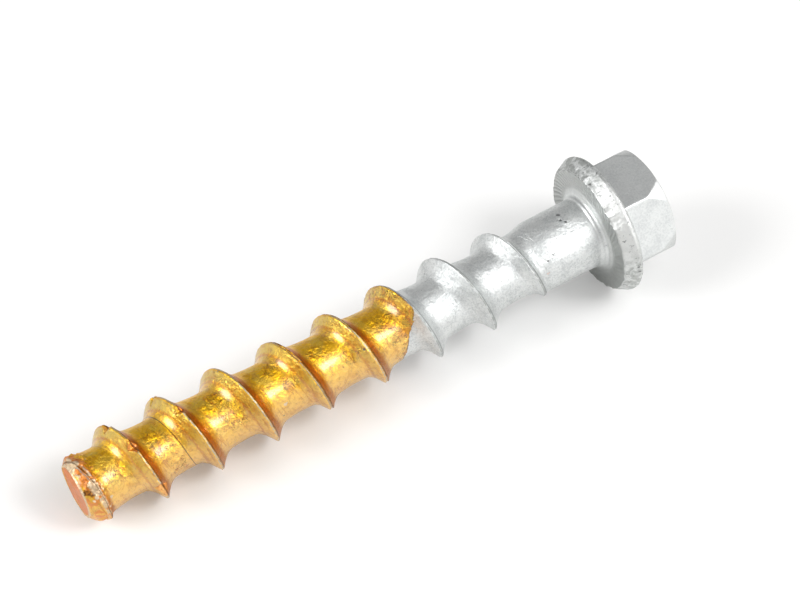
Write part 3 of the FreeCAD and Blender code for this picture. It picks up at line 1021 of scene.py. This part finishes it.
class BarCoats:
    """Coats of the bar and shank: zinc, with gold lacquer over it up to a ragged edge. Lengths are
    millimetres, and noise is scaled in waves to a millimetre."""

    def __init__(self, nodes, colours, groups):
        self.nodes, self.colours, self.groups = nodes, colours, groups
        self.spot = nodes.upright()
        self.height = nodes.split(self.spot)["Z"]
        wound = nodes.group(groups["wound_place"], Wound=nodes.attribute("wound", "Vector"))
        self.beside, self.along = wound["Beside"], wound["Along"]
        self.fine = nodes.noise(self.spot, 4.5, 4, 0.6)
        self.frayed = nodes.linear(nodes.noise(self.spot, 1.4, 4, 0.6), 0.9, -0.45)
        self.zinc = nodes.group(groups["mottled_zinc"], Place=self.spot)
        # The side that faces the floor carries the painted warm reflection, and a little less of
        # the painted shade behind the crests.
        self.low_side = self.facing(300.0, 0.85)
        self.high_side = self.facing(150.0, 0.9)
        self.to_edge = nodes.math("ADD", nodes.attribute("lacquer"), self.frayed)
        self.lacquered = nodes.ramp(self.to_edge, -0.05, 0.08)
        self.crested = nodes.ramp(self.along, 80.5, 83, 1, 0)
        self.in_notch = nodes.ramp(nodes.attribute("pressed"), 0.1, 0.6)
        self.sheared = nodes.attribute("sheared")
        self.chipped = self.torn(self.height, 2.2, 2.4, 3.8, 1, 0)
        self.chip = nodes.noise(self.spot, 0.8, 3, 0.55, 0.5)
        self.on_flank = nodes.band(self.beside, -1.35, -1.1, -0.35, -0.15)
        self.uneven = nodes.linear(self.frayed, 0.7, self.beside)
        # Painted shade: a brown-orange band in the hollow behind each crest.
        shade_behind_crests = nodes.band(self.uneven, 0.1, 0.3, 1.0, 1.9)
        self.shade_behind_crests = nodes.times(shade_behind_crests, nodes.rest(self.low_side, 0.15))
        self.scaly = self.scaly_share()
        self.cracks = nodes.group(groups["squiggles"], Place=self.spot, Amount=self.scaly)
        self.streak = nodes.group(groups["streaks"], Beside=self.beside, Along=self.along)["Streak"]
        self.in_seam = self.groove_seam()
        self.dark = self.torn(nodes.attribute("dark"), 1.3, 0.25, 0.6)
        self.worn = self.worn_crests()
        self.bare = self.laid_bare()

    def facing(self, degrees, full):
        """1 on the side of the screw that faces an angle."""
        facing = self.nodes.group(self.groups["facing"], Place=self.spot, Angle=degrees)["Facing"]
        return self.nodes.ramp(facing, 0.2, full)

    def torn(self, value, fray, start, end, low=0.0, high=1.0):
        """A ramp with a frayed edge."""
        return self.nodes.ramp(self.nodes.linear(self.frayed, fray, value), start, end, low, high)

    def scaly_share(self):
        """Lacquer wrinkles everywhere a little, and most at the scaly marks and near its edge."""
        nodes = self.nodes
        marked = self.torn(nodes.attribute("scaly"), 0.8, 0.0, 0.45)
        near_edge = nodes.ramp(self.to_edge, 3.0, 0.6)
        return nodes.linear(nodes.highest(marked, near_edge), 0.7, 0.3)

    def groove_seam(self):
        """A seam that the rolling left in one groove, on the tip side of the next crest."""
        nodes = self.nodes
        drop = nodes.ramp(self.along, 16.5, 21.5, -2.15, -3.3)
        off_seam = nodes.math("ABSOLUTE", nodes.math("SUBTRACT", self.beside, drop))
        line = nodes.ramp(off_seam, 0.02, 0.09, 1, 0)
        return nodes.times(line, nodes.band(self.along, 16, 16.6, 22, 23))

    def off_crest(self):
        return self.nodes.math("ABSOLUTE", self.nodes.linear(self.frayed, 0.25, self.beside))

    def worn_crests(self):
        """Crests rubbed through the coats, with breaks and not in the notches."""
        nodes = self.nodes
        line = nodes.ramp(self.off_crest(), 0.04, 0.16, 1, 0)
        broken = nodes.ramp(nodes.noise(self.spot, 1.6, 4, 0.6), 0.4, 0.54, 0.3, 1.0)
        return nodes.times(line, self.crested, broken, nodes.rest(self.in_notch))

    def laid_bare(self):
        """Bare marks, flakes on the chipped first crest, and the edge of the sheared end."""
        nodes = self.nodes
        marked = self.torn(nodes.attribute("bare"), 0.9, 0.25, 0.4)
        near_crest = nodes.ramp(self.off_crest(), 0.6, 1.2, 1, 0)
        flaked = nodes.times(near_crest, self.chipped, nodes.ramp(self.chip, 0.43, 0.51))
        at_end = self.torn(self.height, 0.7, 0.2, 0.35, 1, 0)
        end_edge = nodes.times(at_end, nodes.ramp(self.sheared, 0.3, 0.6, 1, 0))
        return nodes.highest(marked, flaked, end_edge)

    def lacquer(self):
        """Gold, greenish where it is thin, stained and chipped, with painted shade in brown-orange
        behind the crests and along the rolled line, and a painted warm reflection of the floor on
        the side that faces it.
        """
        nodes, colours = self.nodes, self.colours
        thin = nodes.times(nodes.ramp(nodes.noise(self.spot, 0.45, 3), 0.45, 0.62), 0.6)
        # Painted shade along the rolled line on the tip-side flank.
        crease = nodes.times(nodes.band(self.uneven, -1.65, -1.4, -1.3, -1.1), 0.5)
        stained = nodes.ramp(nodes.noise(self.spot, 0.8, 4, 0.55, 1.2), 0.5, 0.62)
        stained = nodes.times(stained, nodes.linear(self.scaly, 0.4, 0.2))
        dirty = nodes.times(nodes.ramp(self.fine, 0.5, 0.7), nodes.times(self.scaly, 0.15))
        pressed = nodes.times(self.in_notch, nodes.ramp(self.along, 11.0, 14.5, 0.6, 0.15))
        edge_line = nodes.band(self.to_edge, -0.1, 0.0, 0.05, 0.35)
        patchy = nodes.ramp(nodes.noise(self.spot, 0.9, 3), 0.42, 0.58, 0.2, 0.9)
        brown = self.torn(nodes.attribute("brown"), 1.8, 0.15, 0.6)
        return nodes.painted(
            colours.gold,
            (nodes.highest(thin, self.on_flank), colours.olive),
            # Painted reflection of the floor on the side that faces it.
            (nodes.times(self.low_side, 0.9), colours.peach_reflection),
            # Painted shade behind the crests and along the rolled line.
            (nodes.highest(self.shade_behind_crests, crease), colours.amber_and_shade),
            (stained, colours.amber_and_shade),
            (dirty, colours.amber_and_shade),
            (self.cracks["Crack"], colours.grime_and_shade),
            (nodes.times(self.streak, 0.45), colours.amber_and_shade),
            (pressed, colours.orange),
            (nodes.times(edge_line, patchy), colours.grime_and_shade),
            (nodes.times(self.in_seam, 0.85), colours.grime_and_shade),
            (nodes.times(self.chipped, nodes.ramp(self.chip, 0.52, 0.44)), colours.orange),
            (nodes.times(brown, 0.75), colours.amber_and_shade),
            (nodes.times(brown, nodes.ramp(self.chip, 0.42, 0.6)), colours.grime_and_shade))

    def either(self, on_zinc, on_lacquer):
        return self.nodes.mix(self.lacquered, on_zinc, on_lacquer)

    def colour(self):
        """The coats, with the sheared end, bare crests and marks, and painted shade in a line just
        behind the crests.
        """
        nodes, colours = self.nodes, self.colours
        uneven_end = nodes.ramp(self.frayed, -0.2, 0.2, 0.0, 0.5)
        end_colour = nodes.mix(uneven_end, colours.salmon, colours.amber_and_shade)
        # Painted shade: a dark line just behind each crest, grey on the zinc and dark brown on the
        # lacquer.
        behind_crest = nodes.linear(self.frayed, 0.25, self.beside)
        behind_crest = nodes.times(nodes.band(behind_crest, 0.1, 0.2, 0.32, 0.5), self.crested)
        rust = self.torn(nodes.attribute("rust"), 1.0, 0.2, 0.6)
        return nodes.painted(
            self.either(self.zinc["Color"], self.lacquer()),
            (nodes.ramp(self.sheared, 0.35, 0.7), end_colour),
            (self.worn, self.either(colours.worn_zinc, colours.worn_crest)),
            (self.bare, self.either(colours.worn_zinc, colours.bare)),
            # Painted shade just behind the crests.
            (nodes.times(behind_crest, 0.7), self.either(colours.shadow, colours.grime_and_shade)),
            (nodes.times(self.dark, 0.8), colours.soot),
            (rust, colours.orange))

    def roughness(self):
        nodes = self.nodes
        lacquer = nodes.linear(self.chipped, 0.1, nodes.linear(self.fine, 0.12, 0.27))
        roughness = nodes.blend(self.lacquered, self.zinc["Roughness"], lacquer)
        roughness = nodes.linear(self.worn, 0.18, roughness)
        return nodes.linear(self.cracks["Crack"], 0.2, roughness)

    def glaze(self):
        """The lacquer's clear gloss, duller on the high side, under the painted shade behind the
        crests and on the flanks.
        """
        nodes = self.nodes
        tip_side = nodes.band(self.beside, -3.0, -2.4, -0.35, -0.15)
        dulled = nodes.highest(
            nodes.times(self.high_side, nodes.linear(tip_side, -0.85, 0.85)),
            nodes.times(self.shade_behind_crests, 0.75), nodes.times(self.on_flank, 0.3))
        unworn = nodes.rest(nodes.highest(self.bare, self.worn))
        uncracked = nodes.rest(self.cracks["Crack"], 0.8)
        return nodes.times(
            self.lacquered, unworn, uncracked, nodes.rest(self.chipped, 0.5), nodes.rest(dulled))

    def relief(self):
        """Height of the coats' surface."""
        nodes = self.nodes
        return nodes.piled(
            self.zinc["Height"],
            (self.cracks["Height"], self.lacquered),
            (nodes.times(self.streak, self.crested), -0.04),
            (self.in_seam, -0.12),
            (self.lacquered, 0.02),
            (nodes.times(self.chip, self.chipped), 0.3),
            (self.dark, -0.06))


def bar_material(colours, groups):
    """Threaded bar and shank: steel under zinc and gold lacquer."""
    material, nodes, shader = new_material("lacquered_bar")
    coats = BarCoats(nodes, colours, groups)
    nodes.feed(shader["Base Color"], coats.colour())
    nodes.feed(shader["Metallic"], nodes.ramp(coats.sheared, 0.35, 0.7, 1.0, 0.4))
    nodes.feed(shader["Roughness"], coats.roughness())
    nodes.feed(shader["Coat Weight"], coats.glaze())
    shader["Coat Roughness"].default_value = 0.22
    shader["Coat IOR"].default_value = 1.8
    feed_bump(nodes, shader, coats.relief())
    return material


class HeadCoat:
    """The head's zinc: rubbed bright on the rim, toothed and dull on the bearing face."""

    def __init__(self, nodes, colours, groups):
        self.nodes, self.colours = nodes, colours
        self.spot = nodes.upright()
        self.zinc = nodes.group(groups["mottled_zinc"], Place=self.spot, Contrast=0.6, Pits=0.8)
        self.upper = nodes.group(groups["facing"], Place=self.spot, Angle=150.0)["Facing"]
        self.lower = nodes.group(groups["facing"], Place=self.spot, Angle=290.0)["Facing"]
        self.on_rim = nodes.ramp(nodes.attribute("rubbed"), 0.6, 0.95)
        self.toothed = nodes.attribute("toothed")

    def colour(self):
        """Zinc rubbed bright where the rim is handled, with painted shade in blotches on the rim's
        upper and lower sides, and the bearing face's teeth painted lighter on the upper side.
        """
        nodes, colours = self.nodes, self.colours
        # Painted shade: the rim's upper and lower sides are less rubbed and duller.
        shaded_rim_sides = nodes.highest(
            nodes.ramp(self.upper, 0.65, 0.95), nodes.ramp(self.lower, 0.6, 1.0, 0, 0.8))
        broken = nodes.ramp(nodes.noise(self.spot, 2.4, 5, 0.65), 0.36, 0.5, 0.5, 1.0)
        rubbed = nodes.times(nodes.attribute("rubbed"), broken, nodes.rest(shaded_rim_sides, 0.7))
        # Painted light: the dull teeth of the bearing face are lighter on the upper side.
        toothed = nodes.times(self.toothed, nodes.ramp(self.upper, 0.1, 0.9, 0.66, 0.5))
        blotched = nodes.ramp(nodes.noise(self.spot, 0.8, 3, 0.55, 0.6), 0.4, 0.58)
        # Painted shade in blotches on the rim's upper and lower sides.
        blotched_rim_shade = nodes.times(self.on_rim, shaded_rim_sides, blotched)
        specks = nodes.ramp(nodes.noise(self.spot, 1.3, 4, 0.75), 0.57, 0.66)
        marked = nodes.ramp(nodes.attribute("dark"), 0.2, 0.5)
        dark = nodes.highest(marked, nodes.times(specks, self.on_rim))
        return nodes.painted(
            self.zinc["Color"],
            (nodes.times(rubbed, 0.85), colours.polished),
            (nodes.highest(toothed, nodes.times(blotched_rim_shade, 0.75)), colours.dull),
            (nodes.times(dark, 0.7), colours.soot),
            (nodes.ramp(nodes.attribute("rust"), 0.2, 0.6), colours.orange))

    def teeth(self):
        """Slanted teeth that run outward on the bearing face."""
        nodes = self.nodes
        parts = nodes.split(self.spot)
        around = nodes.math("ARCTAN2", parts["Y"], parts["X"])
        square = nodes.linear(parts["X"], parts["X"], nodes.times(parts["Y"], parts["Y"]))
        slanted = nodes.linear(nodes.math("SQRT", square), TOOTH_SLANT, around)
        return nodes.times(
            nodes.math("SINE", nodes.times(slanted, TEETH)),
            nodes.ramp(self.toothed, 0.65, 1.0), nodes.ramp(self.upper, -0.3, 0.5, 0.4, 1.0))

    def relief(self):
        """Height of the zinc, the teeth and the rim's pits, in millimetres."""
        nodes = self.nodes
        on_bevel = nodes.ramp(nodes.attribute("rubbed"), 0.8, 1.0)
        pitted = nodes.times(nodes.noise(self.spot, 1.5, 3, 0.5), on_bevel)
        zinc = nodes.times(self.zinc["Height"], 0.45)
        return nodes.piled(zinc, (self.teeth(), 0.065), (pitted, 0.085))


def head_material(colours, groups):
    """Flange and hexagon: steel under zinc."""
    material, nodes, shader = new_material("zinc_head")
    coat = HeadCoat(nodes, colours, groups)
    nodes.feed(shader["Base Color"], coat.colour())
    shader["Metallic"].default_value = 1.0
    nodes.feed(shader["Roughness"], nodes.linear(coat.on_rim, 0.1, coat.zinc["Roughness"]))
    feed_bump(nodes, shader, coat.relief())
    return material


class OBJECT_OT_coated_screw(bpy.types.Operator):
    """Makes the whole screw as one closed mesh and gives it its coats"""

    bl_idname = "object.coated_screw"
    bl_label = "Coated screw"

    def execute(self, context):
        scene = context.scene
        mesh = screw_mesh(scene.screw_thread, scene.screw_notches, scene.screw_head)
        screw = bpy.data.objects.new("coated_screw", mesh)
        scene.collection.objects.link(screw)
        mesh.polygons.foreach_set("use_smooth", [True] * len(mesh.polygons))
        mesh.set_sharp_from_angle(angle=SHARP_ANGLE)
        colours = scene.screw_colours
        groups = {
            "wound_place": wound_place_group(scene.screw_thread.pitch),
            "facing": facing_group(),
            "mottled_zinc": zinc_group(colours),
            "squiggles": squiggle_group(),
            "streaks": streak_group(),
        }
        mesh.materials.append(bar_material(colours, groups))
        mesh.materials.append(head_material(colours, groups))
        head_start = scene.screw_head.bearing - scene.screw_head.fillet
        for face in mesh.polygons:
            face.material_index = int((face.center - tip_place).dot(axis) > head_start)
        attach(screw, "root")
        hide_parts("concrete_screw")
        return {"FINISHED"}


def lay_floor(scene):
    """A sheet of white paper under the screw."""
    bm = bmesh.new()
    bmesh.ops.create_grid(bm, x_segments=1, y_segments=1, size=FLOOR_HALF_WIDTH)
    mesh = bpy.data.meshes.new("floor")
    bm.to_mesh(mesh)
    bm.free()
    floor = bpy.data.objects.new("floor", mesh)
    scene.collection.objects.link(floor)
    paper, nodes, shader = new_material("paper")
    shader["Base Color"].default_value = PAPER
    shader["Roughness"].default_value = 0.9
    shader["Specular IOR Level"].default_value = 0.0
    shader["Emission Color"].default_value = WHITE
    seen = nodes.add("ShaderNodeLightPath").outputs["Is Camera Ray"]
    nodes.feed(shader["Emission Strength"], nodes.times(seen, PAPER_GLOW))
    mesh.materials.append(paper)


def light_surround(scene):
    """Even white light from all round."""
    world = bpy.data.worlds.new("studio")
    scene.world = world
    world.use_nodes = True
    background = world.node_tree.nodes["Background"].inputs
    background["Color"].default_value = WHITE
    background["Strength"].default_value = SURROUND_LIGHT


def hang_lamp(scene, name, direction, distance, size, radiance):
    """A round softbox of even radiance that faces the screw from a direction."""
    light = bpy.data.lights.new(name, "AREA")
    light.shape = "DISK"
    light.size = size
    light.energy = radiance * math.pi * math.pi * (size / 2) ** 2
    box = bpy.data.objects.new(name, light)
    box.location = Vector(direction).normalized() * distance
    box.rotation_euler = (-box.location).to_track_quat("-Z", "Y").to_euler()
    scene.collection.objects.link(box)


def place_camera(scene):
    """The camera looks down on the screw from beside its tip."""
    lens = bpy.data.cameras.new("camera")
    lens.lens = FOCAL_LENGTH
    camera = bpy.data.objects.new("camera", lens)
    camera.location = tip_place + CAMERA_FROM_TIP
    camera.rotation_euler = CAMERA_LOOK.to_track_quat("-Z", "Y").to_euler()
    scene.collection.objects.link(camera)
    scene.camera = camera


class OBJECT_OT_screw_stage(bpy.types.Operator):
    """Makes the pale floor, the soft lamps and the camera"""

    bl_idname = "object.screw_stage"
    bl_label = "Stage"

    def execute(self, context):
        scene = context.scene
        lay_floor(scene)
        light_surround(scene)
        for lamp in LAMPS:
            hang_lamp(scene, *lamp)
        place_camera(scene)
        scene.view_settings.view_transform = "Standard"
        return {"FINISHED"}


class VIEW3D_PT_concrete_screw(bpy.types.Panel):
    """Lists the screw's sizes, colours and steps"""

    bl_label = "Concrete screw"
    bl_idname = "VIEW3D_PT_concrete_screw"
    bl_space_type = "VIEW_3D"
    bl_region_type = "UI"
    bl_category = "Concrete screw"

    def draw(self, context):
        for group, kind in SETTINGS.items():
            box = self.layout.box()
            box.label(text=kind.__doc__)
            for name in kind.__annotations__:
                box.prop(getattr(context.scene, group), name)
        self.layout.operator("object.coated_screw")
        self.layout.operator("object.screw_stage")


SETTINGS = {
    "screw_thread": ThreadSizes,
    "screw_notches": NotchSizes,
    "screw_head": HeadSizes,
    "screw_colours": CoatColours,
}
CLASSES = (
    *SETTINGS.values(), OBJECT_OT_coated_screw, OBJECT_OT_screw_stage, VIEW3D_PT_concrete_screw)


def register():
    for cls in CLASSES:
        bpy.utils.register_class(cls)
    for name, cls in SETTINGS.items():
        setattr(bpy.types.Scene, name, bpy.props.PointerProperty(type=cls))


def unregister():
    for name in SETTINGS:
        delattr(bpy.types.Scene, name)
    for cls in reversed(CLASSES):
        bpy.utils.unregister_class(cls)


def main():
    register()
    bpy.ops.object.coated_screw()
    bpy.ops.object.screw_stage()


if __name__ == "__main__":
    main()
